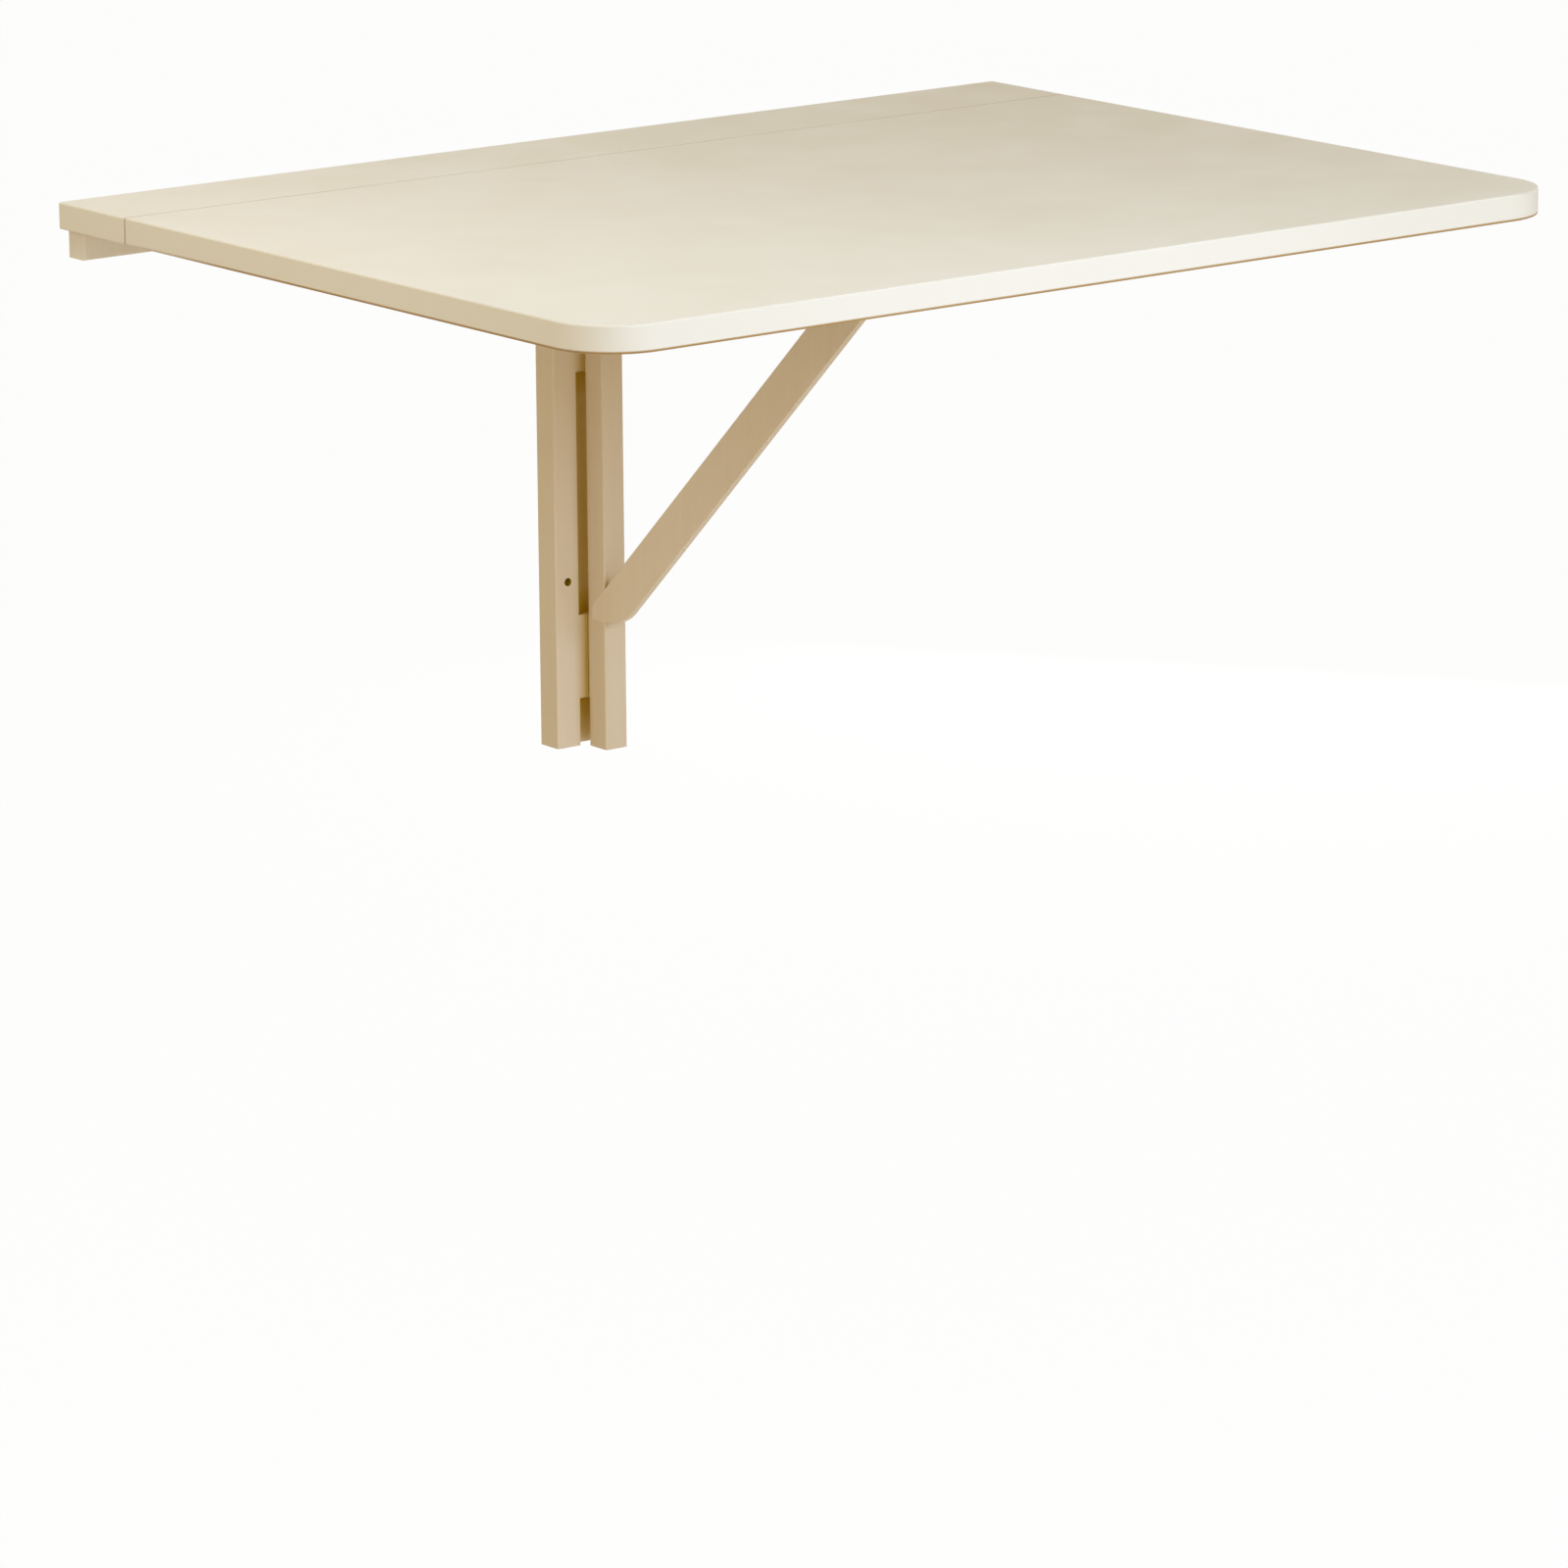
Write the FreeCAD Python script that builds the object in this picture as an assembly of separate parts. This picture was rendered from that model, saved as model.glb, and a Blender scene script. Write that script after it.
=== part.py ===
"""Wall mounted drop leaf table, open: a fixed leaf on a wall ledger, a hinged drop leaf and a swing gate.

Millimetres, +Z up. The wall is the plane Y = 0 and the table stands out from it towards -Y.
The origin is on the wall, at the middle of the ledger's row of wall screw holes.
"""
import FreeCAD, Part
import os

from FreeCAD import Vector

# Table top
TOP_WIDTH = 800.0
TOP_THICKNESS = 18.0
FIXED_DEPTH = 80.0
DROP_DEPTH = 519.0
SEAM_GAP = 1.0
FRONT_CORNER_RADIUS = 45.0
BACK_CORNER_RADIUS = 2.0
TOP_EDGE_ROUND = 1.2

# Ledger under the fixed leaf
LEDGER_END_INSET = 8.0
LEDGER_DEPTH = 18.0
LEDGER_HEIGHT = 20.0

# Wall post and gate
WALL_POST_WIDTH = 43.0
WALL_POST_DEPTH = 20.0
WALL_POST_LENGTH = 392.0
WALL_POST_CENTRE_X = 10.0
POST_RELIEF_WIDTH = 23.5
POST_RELIEF_DEPTH = 8.0
GATE_THICKNESS = 18.5
GATE_POST_DEPTH = 20.0
GATE_TOP_CLEARANCE = 6.0
GATE_REACH = 382.0
ARM_HEIGHT = 30.0
STRUT_WIDTH = 30.0
STRUT_THICKNESS = 5.0
STRUT_END_DEPTH = 17.0
STRUT_TOE_HEIGHT = 92.0
STRUT_TOE_STANDOFF = 18.5
STRUT_TOE_RADIUS = 44.0
STRUT_LAP = 15.0
LAP_CLEARANCE = 0.03
STRUT_REST_GAP = 0.3
WOOD_EDGE_ROUND = 1.5

# Butt hinges: let into the leaves, and set between the wall post and the gate
HINGE_LENGTH = 60.0
HINGE_PLATE_WIDTH = 20.0
HINGE_PLATE_THICKNESS = 1.5
HINGE_BARREL_RADIUS = 2.5
HINGE_BARREL_CLEARANCE = 0.2
GATE_HINGE_PLATE_GAP = 0.9
HINGE_KNUCKLES = 5
HINGE_KNUCKLE_GAP = 0.3
HINGE_PIN_RADIUS = 1.25
HINGE_PIN_CLEARANCE = 0.05
HINGE_PIN_HEAD_RADIUS = 2.0
HINGE_PIN_HEAD_HEIGHT = 1.0
HINGE_PIN_HEAD_ROUND = 0.6
HINGE_SCREW_OFFSET = 11.4
HINGE_SCREW_SPACING = 22.0
HINGE_SCREWS = 3
MORTISE_CLEARANCE = 0.1
LEAF_HINGE_INSET = 92.0
GATE_HINGE_TOP_INSET = 64.5
GATE_HINGE_BOTTOM_INSET = 34.0

# Fasteners
PLATE_SCREW_RADIUS = 1.5
PLATE_SCREW_HEAD_RADIUS = 2.6
PLATE_SCREW_LENGTH = 14.0
WOOD_SCREW_RADIUS = 2.0
WOOD_SCREW_HEAD_RADIUS = 4.0
LEDGER_SCREW_LENGTH = 32.0
LEDGER_SCREW_END_INSET = 92.0
LEDGER_SCREW_SPACING_INNER = 160.0
STRUT_SCREW_LENGTH = 17.0
STRUT_SCREW_END_INSET = 22.0
SCREW_CLEARANCE = 0.03
DOWEL_RADIUS = 3.0
DOWEL_LENGTH = 24.0
DOWEL_CLEARANCE = 0.03
DOWEL_END_CLEARANCE = 0.5
DOWEL_CHAMFER = 0.8
POST_DOWEL_SPACING = 20.0
ARM_DOWEL_SPACING = 15.0

# Holes for the wall screws
WALL_HOLE_RADIUS = 3.0
LEDGER_HOLE_END_INSET = 42.0
LEDGER_HOLE_SPACING_INNER = 300.0
POST_HOLE_INSET = 10.5
POST_HOLE_TOP_INSET = 37.0
POST_HOLE_SPACING = 236.0

# Lengths, levels and planes that the pieces share
LEDGER_LENGTH = TOP_WIDTH - 2 * LEDGER_END_INSET
LEDGER_HOLE_SPACING_OUTER = LEDGER_LENGTH - 2 * LEDGER_HOLE_END_INSET
LEDGER_SCREW_SPACING_OUTER = LEDGER_LENGTH - 2 * LEDGER_SCREW_END_INSET
UNDERSIDE_Z = LEDGER_HEIGHT / 2
TOP_Z = UNDERSIDE_Z + TOP_THICKNESS
LEDGER_BOTTOM_Z = -LEDGER_HEIGHT / 2
POST_BOTTOM_Z = LEDGER_BOTTOM_Z - WALL_POST_LENGTH
FIXED_FRONT_Y = -FIXED_DEPTH
DROP_BACK_Y = FIXED_FRONT_Y - SEAM_GAP
DROP_FRONT_Y = DROP_BACK_Y - DROP_DEPTH
POST_LEFT_X = WALL_POST_CENTRE_X - WALL_POST_WIDTH / 2
POST_RIGHT_X = WALL_POST_CENTRE_X + WALL_POST_WIDTH / 2
POST_FRONT_Y = -WALL_POST_DEPTH
AXIS_STANDOFF = HINGE_BARREL_RADIUS + HINGE_BARREL_CLEARANCE
GATE_LEFT_X = POST_RIGHT_X - GATE_THICKNESS
GATE_CENTRE_X = POST_RIGHT_X - GATE_THICKNESS / 2
GATE_PLATE_NEAR = GATE_HINGE_PLATE_GAP / 2
GATE_AXIS_STANDOFF = GATE_PLATE_NEAR + HINGE_PLATE_THICKNESS
GATE_BACK_Y = POST_FRONT_Y - 2 * GATE_AXIS_STANDOFF
GATE_FRONT_Y = GATE_BACK_Y - GATE_POST_DEPTH
GATE_TOP_Z = UNDERSIDE_Z - GATE_TOP_CLEARANCE
GATE_AXIS_X = POST_RIGHT_X + AXIS_STANDOFF
GATE_AXIS_Y = POST_FRONT_Y - GATE_AXIS_STANDOFF
LEAF_AXIS_Y = FIXED_FRONT_Y - SEAM_GAP / 2
LEAF_AXIS_Z = UNDERSIDE_Z - AXIS_STANDOFF

X_AXIS = Vector(1, 0, 0)
Y_AXIS = Vector(0, 1, 0)
Z_AXIS = Vector(0, 0, 1)


def box(low, high):
    """A block between two corners."""
    size = Vector(*high) - Vector(*low)
    return Part.makeBox(size.x, size.y, size.z, Vector(*low))


def rod(radius, start, direction, length):
    """A round bar from a point along a direction."""
    return Part.makeCylinder(radius, length, start, direction)


def profile(points):
    """A closed flat face through (y, z) points, in the plane X = 0."""
    corners = [Vector(0, y, z) for y, z in points]
    return Part.Face(Part.makePolygon(corners + corners[:1]))


def join(shapes):
    """One solid from touching or overlapping solids."""
    whole = shapes[0]
    for shape in shapes[1:]:
        whole = whole.fuse(shape)
    return whole.removeSplitter()


def edges_along(shape, direction, keep=lambda middle: True):
    """Straight edges parallel to a direction whose middle point passes a test."""
    found = []
    for edge in shape.Edges:
        run = edge.Vertexes[-1].Point - edge.Vertexes[0].Point
        straight = edge.Curve.TypeId == "Part::GeomLine"
        if straight and run.Length > 0 and abs(run.normalize().dot(direction)) > 0.999:
            if keep(edge.CenterOfMass):
                found.append(edge)
    return found


def countersunk_screw(radius, head_radius, length, start, direction):
    """A screw with its flat head at start, its point running along direction."""
    head_height = head_radius - radius
    point_height = 2 * radius
    head = Part.makeCone(head_radius, radius, head_height, start, direction)
    shank = rod(radius, start, direction, length - point_height)
    tip_start = start + direction * (length - point_height)
    tip = Part.makeCone(radius, radius / 5, point_height, tip_start, direction)
    return join([head, shank, tip])


def screw_hole(radius, head_radius, length, start, direction):
    """The hole that such a screw sits in, a little larger all round."""
    grown = radius + SCREW_CLEARANCE
    grown_head = head_radius + SCREW_CLEARANCE
    head = Part.makeCone(grown_head, grown, grown_head - grown, start, direction)
    return join([head, rod(grown, start, direction, length + SCREW_CLEARANCE)])


def wall_screw_hole(x, z, front_y):
    """A through hole to the wall, opening on the face at front_y."""
    return rod(WALL_HOLE_RADIUS, Vector(x, front_y, z), Y_AXIS, -front_y)


def dowel(middle, direction):
    """A dowel with bevelled ends, centred on a joint."""
    start = middle - direction * (DOWEL_LENGTH / 2)
    bar = rod(DOWEL_RADIUS, start, direction, DOWEL_LENGTH)
    rims = [edge for edge in bar.Edges if edge.Closed]
    return bar.makeChamfer(DOWEL_CHAMFER, rims)


def dowel_hole(middle, direction):
    """The hole for a dowel through both halves of a joint."""
    length = DOWEL_LENGTH + 2 * DOWEL_END_CLEARANCE
    start = middle - direction * (length / 2)
    return rod(DOWEL_RADIUS + DOWEL_CLEARANCE, start, direction, length)


# Butt hinges. A half is made about the local Z axis, with its plate reaching along local +X and its
# open face towards local -Y, then set in place by three directions of the table.
def knuckle_spans(offset):
    """Start and length of every second knuckle, from the given one."""
    pitch = HINGE_LENGTH / HINGE_KNUCKLES
    base = -HINGE_LENGTH / 2 + HINGE_KNUCKLE_GAP / 2
    return [(base + i * pitch, pitch - HINGE_KNUCKLE_GAP) for i in range(offset, HINGE_KNUCKLES, 2)]


def plate_screw_places():
    """Local X and Z of the screws in one hinge plate."""
    middle = (HINGE_SCREWS - 1) / 2
    return [(HINGE_SCREW_OFFSET, (i - middle) * HINGE_SCREW_SPACING) for i in range(HINGE_SCREWS)]


def hinge_half(offset, near):
    """Plate, neck and knuckles of one half, with countersunk holes. near is from the pin to the plate."""
    half_length = HINGE_LENGTH / 2
    far = near + HINGE_PLATE_THICKNESS
    neck_x = HINGE_BARREL_RADIUS - HINGE_PLATE_THICKNESS
    plate_x = HINGE_BARREL_RADIUS + HINGE_BARREL_CLEARANCE
    pieces = [box((plate_x, near, -half_length), (HINGE_PLATE_WIDTH, far, half_length))]
    for start, length in knuckle_spans(offset):
        neck = box((neck_x, 0, start), (HINGE_BARREL_RADIUS, far, start + length))
        bridge = box((neck_x, near, start), (plate_x, far, start + length))
        barrel = rod(HINGE_BARREL_RADIUS, Vector(0, 0, start), Z_AXIS, length)
        pieces += [neck, bridge, barrel]
    half = join(pieces)
    pin_hole = HINGE_PIN_RADIUS + HINGE_PIN_CLEARANCE
    half = half.cut(rod(pin_hole, Vector(0, 0, -HINGE_LENGTH), Z_AXIS, 2 * HINGE_LENGTH))
    for hole in hinge_screw_holes(near):
        half = half.cut(hole)
    return half


def hinge_screws(near):
    """The screws of one half, in the half's own frame."""
    return [countersunk_screw(PLATE_SCREW_RADIUS, PLATE_SCREW_HEAD_RADIUS, PLATE_SCREW_LENGTH,
                              Vector(x, near, z), Y_AXIS)
            for x, z in plate_screw_places()]


def hinge_screw_holes(near):
    """The holes for those screws, through the plate and into the wood."""
    return [screw_hole(PLATE_SCREW_RADIUS, PLATE_SCREW_HEAD_RADIUS, PLATE_SCREW_LENGTH,
                       Vector(x, near, z), Y_AXIS)
            for x, z in plate_screw_places()]


def mortise():
    """The pocket for a plate whose open face is flush with the wood."""
    half_length = HINGE_LENGTH / 2 + MORTISE_CLEARANCE
    depth = AXIS_STANDOFF + HINGE_PLATE_THICKNESS
    return box((-HINGE_BARREL_RADIUS, 0, -half_length),
               (HINGE_PLATE_WIDTH + MORTISE_CLEARANCE, depth, half_length))


def hinge_pin():
    """A pin with a round head at each end of the barrel."""
    half_length = HINGE_LENGTH / 2
    shank = rod(HINGE_PIN_RADIUS, Vector(0, 0, -half_length), Z_AXIS, HINGE_LENGTH)
    foot = rod(HINGE_PIN_HEAD_RADIUS, Vector(0, 0, -half_length - HINGE_PIN_HEAD_HEIGHT), Z_AXIS,
               HINGE_PIN_HEAD_HEIGHT)
    head = rod(HINGE_PIN_HEAD_RADIUS, Vector(0, 0, half_length), Z_AXIS, HINGE_PIN_HEAD_HEIGHT)
    outer = [half_length + HINGE_PIN_HEAD_HEIGHT, -half_length - HINGE_PIN_HEAD_HEIGHT]
    pin = join([foot, shank, head])
    near = HINGE_PIN_HEAD_HEIGHT / 10
    rims = [edge for edge in pin.Edges
            if edge.Closed and min(abs(edge.CenterOfMass.z - z) for z in outer) < near]
    return pin.makeFillet(HINGE_PIN_HEAD_ROUND, rims)


def placed(shape, origin, local_x, local_y, local_z):
    """A copy of a hinge piece, turned so that its local axes lie along the three given ones."""
    turn = FreeCAD.Matrix(local_x.x, local_y.x, local_z.x, origin.x,
                          local_x.y, local_y.y, local_z.y, origin.y,
                          local_x.z, local_y.z, local_z.z, origin.z)
    return shape.transformed(turn)


def leaf_hinge_places():
    """Names and middles of the three hinges under the seam."""
    end_x = TOP_WIDTH / 2 - LEAF_HINGE_INSET
    return {"left": Vector(-end_x, LEAF_AXIS_Y, LEAF_AXIS_Z),
            "middle": Vector(0, LEAF_AXIS_Y, LEAF_AXIS_Z),
            "right": Vector(end_x, LEAF_AXIS_Y, LEAF_AXIS_Z)}


def gate_hinge_places():
    """Names and middles of the two hinges between the wall post and the gate."""
    reach = HINGE_LENGTH / 2
    upper_z = LEDGER_BOTTOM_Z - GATE_HINGE_TOP_INSET - reach
    lower_z = POST_BOTTOM_Z + GATE_HINGE_BOTTOM_INSET + reach
    return {"upper": Vector(GATE_AXIS_X, GATE_AXIS_Y, upper_z),
            "lower": Vector(GATE_AXIS_X, GATE_AXIS_Y, lower_z)}


# Directions of the hinge halves: where the plate reaches, on which side its wood is, and the pin
FIXED_LEAF_SIDE = (Y_AXIS, Z_AXIS, X_AXIS)
DROP_LEAF_SIDE = (-Y_AXIS, Z_AXIS, -X_AXIS)
WALL_POST_SIDE = (-X_AXIS, Y_AXIS, -Z_AXIS)
GATE_POST_SIDE = (-X_AXIS, -Y_AXIS, Z_AXIS)


# Table top
def board(back_y, front_y, corner_radii):
    """A board across the table's width. The radii are of its back and its front corners."""
    half = TOP_WIDTH / 2
    blank = box((-half, front_y, UNDERSIDE_Z), (half, back_y, TOP_Z))
    for y, radius in ((back_y, corner_radii[0]), (front_y, corner_radii[1])):
        if radius > 0:
            corners = edges_along(blank, Z_AXIS, lambda middle: abs(middle.y - y) < radius / 10)
            blank = blank.makeFillet(radius, corners)
    return blank


def round_rims(blank, flat_y):
    """Rounds the top and bottom rims of a board, except along the seam at flat_y."""
    rims = []
    for edge in blank.Edges:
        middle = edge.CenterOfMass
        level = min(abs(middle.z - TOP_Z), abs(middle.z - UNDERSIDE_Z)) < TOP_THICKNESS / 100
        if level and abs(middle.y - flat_y) > SEAM_GAP / 10:
            rims.append(edge)
    return blank.makeFillet(min(TOP_EDGE_ROUND, TOP_THICKNESS / 3), rims)


def fixed_leaf():
    """The narrow board against the wall, with seats for hinge plates and holes for ledger screws."""
    leaf = round_rims(board(0, FIXED_FRONT_Y, (BACK_CORNER_RADIUS, 0)), FIXED_FRONT_Y)
    for middle in leaf_hinge_places().values():
        for cut in [mortise()] + hinge_screw_holes(AXIS_STANDOFF):
            leaf = leaf.cut(placed(cut, middle, *FIXED_LEAF_SIDE))
    for start in ledger_screw_starts():
        leaf = leaf.cut(ledger_screw_hole(start))
    return leaf


def drop_leaf():
    """The wide board with two rounded front corners, let in for three hinge plates."""
    leaf = round_rims(board(DROP_BACK_Y, DROP_FRONT_Y, (0, FRONT_CORNER_RADIUS)), DROP_BACK_Y)
    for middle in leaf_hinge_places().values():
        for cut in [mortise()] + hinge_screw_holes(AXIS_STANDOFF):
            leaf = leaf.cut(placed(cut, middle, *DROP_LEAF_SIDE))
    return leaf


# Ledger and wall post
def ledger_screw_starts():
    """Heads of the screws that go up through the ledger into the fixed leaf."""
    spacings = (LEDGER_SCREW_SPACING_OUTER, LEDGER_SCREW_SPACING_INNER)
    return [Vector(side * spacing / 2, -LEDGER_DEPTH / 2, LEDGER_BOTTOM_Z)
            for spacing in spacings for side in (-1, 1)]


def ledger_screw_hole(start):
    return screw_hole(WOOD_SCREW_RADIUS, WOOD_SCREW_HEAD_RADIUS, LEDGER_SCREW_LENGTH, start, Z_AXIS)


def ledger_screws():
    return [countersunk_screw(WOOD_SCREW_RADIUS, WOOD_SCREW_HEAD_RADIUS, LEDGER_SCREW_LENGTH, start, Z_AXIS)
            for start in ledger_screw_starts()]


def post_dowel_middles():
    """Middles of the dowels that stand between the wall post and the ledger."""
    y = -LEDGER_DEPTH / 2
    return [Vector(WALL_POST_CENTRE_X + side * POST_DOWEL_SPACING / 2, y, LEDGER_BOTTOM_Z)
            for side in (-1, 1)]


def wall_ledger():
    """The rail along the wall that carries the fixed leaf."""
    half = LEDGER_LENGTH / 2
    rail = box((-half, -LEDGER_DEPTH, LEDGER_BOTTOM_Z), (half, 0, UNDERSIDE_Z))
    front_low = edges_along(rail, X_AXIS, lambda middle: middle.y < 0 and middle.z < 0)
    ends = edges_along(rail, Z_AXIS, lambda middle: middle.y < 0)
    rail = rail.makeFillet(WOOD_EDGE_ROUND, front_low + ends)
    for spacing in (LEDGER_HOLE_SPACING_OUTER, LEDGER_HOLE_SPACING_INNER):
        for side in (-1, 1):
            rail = rail.cut(wall_screw_hole(side * spacing / 2, 0, -LEDGER_DEPTH))
    for start in ledger_screw_starts():
        rail = rail.cut(ledger_screw_hole(start))
    for middle in post_dowel_middles():
        rail = rail.cut(dowel_hole(middle, Z_AXIS))
    return rail


def post_reliefs():
    """The stretches of the post's front that are cut back behind the gate, between and below its hinges."""
    reach = HINGE_LENGTH / 2
    upper, lower = [middle.z for middle in gate_hinge_places().values()]
    spans = [(lower + reach, upper - reach), (POST_BOTTOM_Z, lower - reach)]
    return [box((POST_RIGHT_X - POST_RELIEF_WIDTH, POST_FRONT_Y, low),
                (POST_RIGHT_X, POST_FRONT_Y + POST_RELIEF_DEPTH, high)) for low, high in spans]


def wall_post():
    """The post on the wall: wall screw holes beside the gate, hinge seats and reliefs behind it."""
    post = box((POST_LEFT_X, POST_FRONT_Y, POST_BOTTOM_Z), (POST_RIGHT_X, 0, LEDGER_BOTTOM_Z))
    post = post.makeFillet(WOOD_EDGE_ROUND, edges_along(post, Z_AXIS, lambda middle: middle.y < 0))
    for relief in post_reliefs():
        post = post.cut(relief)
    hole_x = POST_LEFT_X + POST_HOLE_INSET
    hole_z = LEDGER_BOTTOM_Z - POST_HOLE_TOP_INSET
    for z in (hole_z, hole_z - POST_HOLE_SPACING):
        post = post.cut(wall_screw_hole(hole_x, z, POST_FRONT_Y))
    for middle in gate_hinge_places().values():
        for cut in hinge_screw_holes(GATE_PLATE_NEAR):
            post = post.cut(placed(cut, middle, *WALL_POST_SIDE))
    for middle in post_dowel_middles():
        post = post.cut(dowel_hole(middle, Z_AXIS))
    return post


# Gate: a post, a level arm, and a thin slanted strut let flush into their left faces
STRUT_TOP_Z = UNDERSIDE_Z - STRUT_REST_GAP
STRUT_END_Z = STRUT_TOP_Z - STRUT_END_DEPTH
STRUT_TOE_Z = POST_BOTTOM_Z + STRUT_TOE_HEIGHT
STRUT_TOE_Y = GATE_FRONT_Y - STRUT_TOE_STANDOFF
STRUT_RISE = STRUT_END_Z - STRUT_TOE_Z
STRUT_RUN = GATE_REACH + STRUT_TOE_Y
STRUT_SLOPE = STRUT_RISE / STRUT_RUN
STRUT_ALONG = Vector(0, -STRUT_RUN, STRUT_RISE).normalize()
STRUT_UPRIGHT = STRUT_WIDTH / -STRUT_ALONG.y


def upper_edge_z(y):
    """Height of the strut's inner, upper edge at a distance from the wall."""
    return STRUT_TOE_Z + STRUT_UPRIGHT + (STRUT_TOE_Y - y) * STRUT_SLOPE


def gate_slab(points, thickness):
    """A board with the given (y, z) outline, flush with the gate's left face."""
    slab = profile(points).extrude(X_AXIS * thickness)
    slab.translate(X_AXIS * GATE_LEFT_X)
    return slab


def strut_blank(thickness):
    """The strut's outline with its rounded toe, its blunt end under the leaf and its lap in the post."""
    lap_y = GATE_FRONT_Y + STRUT_LAP
    top_y = STRUT_TOE_Y - (STRUT_TOP_Z - STRUT_TOE_Z - STRUT_UPRIGHT) / STRUT_SLOPE
    blank = gate_slab([(lap_y, STRUT_TOE_Z), (lap_y, upper_edge_z(lap_y)), (top_y, STRUT_TOP_Z),
                       (-GATE_REACH, STRUT_TOP_Z), (-GATE_REACH, STRUT_END_Z),
                       (STRUT_TOE_Y, STRUT_TOE_Z)], thickness)
    corner = Vector(GATE_LEFT_X + thickness / 2, STRUT_TOE_Y, STRUT_TOE_Z)
    near = STRUT_TOE_STANDOFF / 10
    toe = edges_along(blank, X_AXIS, lambda middle: middle.distanceToPoint(corner) < near)
    return blank.makeFillet(STRUT_TOE_RADIUS, toe)


def strut_housing():
    """What the strut's laps need cut from the post and the arm."""
    return strut_blank(STRUT_THICKNESS + LAP_CLEARANCE)


def arm_dowel_middles():
    """Middles of the dowels between the gate post and the arm."""
    z = GATE_TOP_Z - ARM_HEIGHT / 2
    return [Vector(GATE_CENTRE_X, GATE_FRONT_Y, z + side * ARM_DOWEL_SPACING / 2) for side in (-1, 1)]


def strut_screw_starts():
    """Heads of the screws that hold the strut's laps, on the gate's right face."""
    foot_y = GATE_FRONT_Y + STRUT_LAP / 2
    foot = Vector(POST_RIGHT_X, foot_y, (STRUT_TOE_Z + upper_edge_z(foot_y)) / 2)
    end = Vector(POST_RIGHT_X, -GATE_REACH + STRUT_SCREW_END_INSET, GATE_TOP_Z - ARM_HEIGHT / 2)
    return [foot, end]


def strut_screw_holes():
    return [screw_hole(WOOD_SCREW_RADIUS, WOOD_SCREW_HEAD_RADIUS, STRUT_SCREW_LENGTH, start, -X_AXIS)
            for start in strut_screw_starts()]


def strut_screws():
    return [countersunk_screw(WOOD_SCREW_RADIUS, WOOD_SCREW_HEAD_RADIUS, STRUT_SCREW_LENGTH, start, -X_AXIS)
            for start in strut_screw_starts()]


def gate_post():
    """The upright that swings on the wall post."""
    post = box((GATE_LEFT_X, GATE_FRONT_Y, POST_BOTTOM_Z), (POST_RIGHT_X, GATE_BACK_Y, GATE_TOP_Z))
    post = post.makeFillet(WOOD_EDGE_ROUND, edges_along(post, Z_AXIS))
    for middle in gate_hinge_places().values():
        for cut in hinge_screw_holes(GATE_PLATE_NEAR):
            post = post.cut(placed(cut, middle, *GATE_POST_SIDE))
    for middle in arm_dowel_middles():
        post = post.cut(dowel_hole(middle, Y_AXIS))
    for cut in [strut_housing()] + strut_screw_holes():
        post = post.cut(cut)
    return post


def gate_arm():
    """The level arm from the gate post to the strut's end."""
    low = GATE_TOP_Z - ARM_HEIGHT
    arm = box((GATE_LEFT_X, -GATE_REACH, low), (POST_RIGHT_X, GATE_FRONT_Y, GATE_TOP_Z))
    arm = arm.makeFillet(WOOD_EDGE_ROUND, edges_along(arm, Y_AXIS))
    for middle in arm_dowel_middles():
        arm = arm.cut(dowel_hole(middle, Y_AXIS))
    for cut in [strut_housing()] + strut_screw_holes():
        arm = arm.cut(cut)
    return arm


def gate_strut():
    """The slanted strut: its top bears under the leaf and its rounded toe is let into the gate post."""
    strut = strut_blank(STRUT_THICKNESS)
    for hole in strut_screw_holes():
        strut = strut.cut(hole)
    return strut


def gate_dowels():
    return [dowel(middle, Y_AXIS) for middle in arm_dowel_middles()]


def post_dowels():
    return [dowel(middle, Z_AXIS) for middle in post_dowel_middles()]


def write(name, shape):
    """One sub-part, or a group of separate solids, as a STEP file."""
    whole = Part.makeCompound(shape) if isinstance(shape, list) else shape
    if not whole.isValid():
        raise ValueError(name + " is not a valid solid")
    whole.exportStep("parts/" + name + ".step")
    print(f"{name:28s} {len(whole.Solids)} solid, {whole.Volume / 1000:9.2f} cm3")


def write_hinges(kind, places, near, still_side, still_name, moving_side, moving_name):
    """The plates and pins of a row of hinges, and the screws of each side as one group."""
    still_screws, moving_screws = [], []
    for name, middle in places.items():
        write(f"{kind}_hinge_{name}_{still_name}_plate", placed(hinge_half(0, near), middle, *still_side))
        write(f"{kind}_hinge_{name}_{moving_name}_plate", placed(hinge_half(1, near), middle, *moving_side))
        write(f"{kind}_hinge_{name}_pin", placed(hinge_pin(), middle, *still_side))
        still_screws += [placed(screw, middle, *still_side) for screw in hinge_screws(near)]
        moving_screws += [placed(screw, middle, *moving_side) for screw in hinge_screws(near)]
    write(f"{kind}_hinge_{still_name}_screws", still_screws)
    write(f"{kind}_hinge_{moving_name}_screws", moving_screws)


os.makedirs("parts", exist_ok=True)
write("fixed_leaf", fixed_leaf())
write("drop_leaf", drop_leaf())
write("wall_ledger", wall_ledger())
write("wall_post", wall_post())
write("gate_post", gate_post())
write("gate_arm", gate_arm())
write("gate_strut", gate_strut())
write("ledger_screws", ledger_screws())
write("post_dowels", post_dowels())
write("gate_dowels", gate_dowels())
write("strut_screw", strut_screws())
write_hinges("leaf", leaf_hinge_places(), AXIS_STANDOFF, FIXED_LEAF_SIDE, "fixed", DROP_LEAF_SIDE, "drop")
write_hinges("gate", gate_hinge_places(), GATE_PLATE_NEAR, WALL_POST_SIDE, "wall", GATE_POST_SIDE, "swing")
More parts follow.
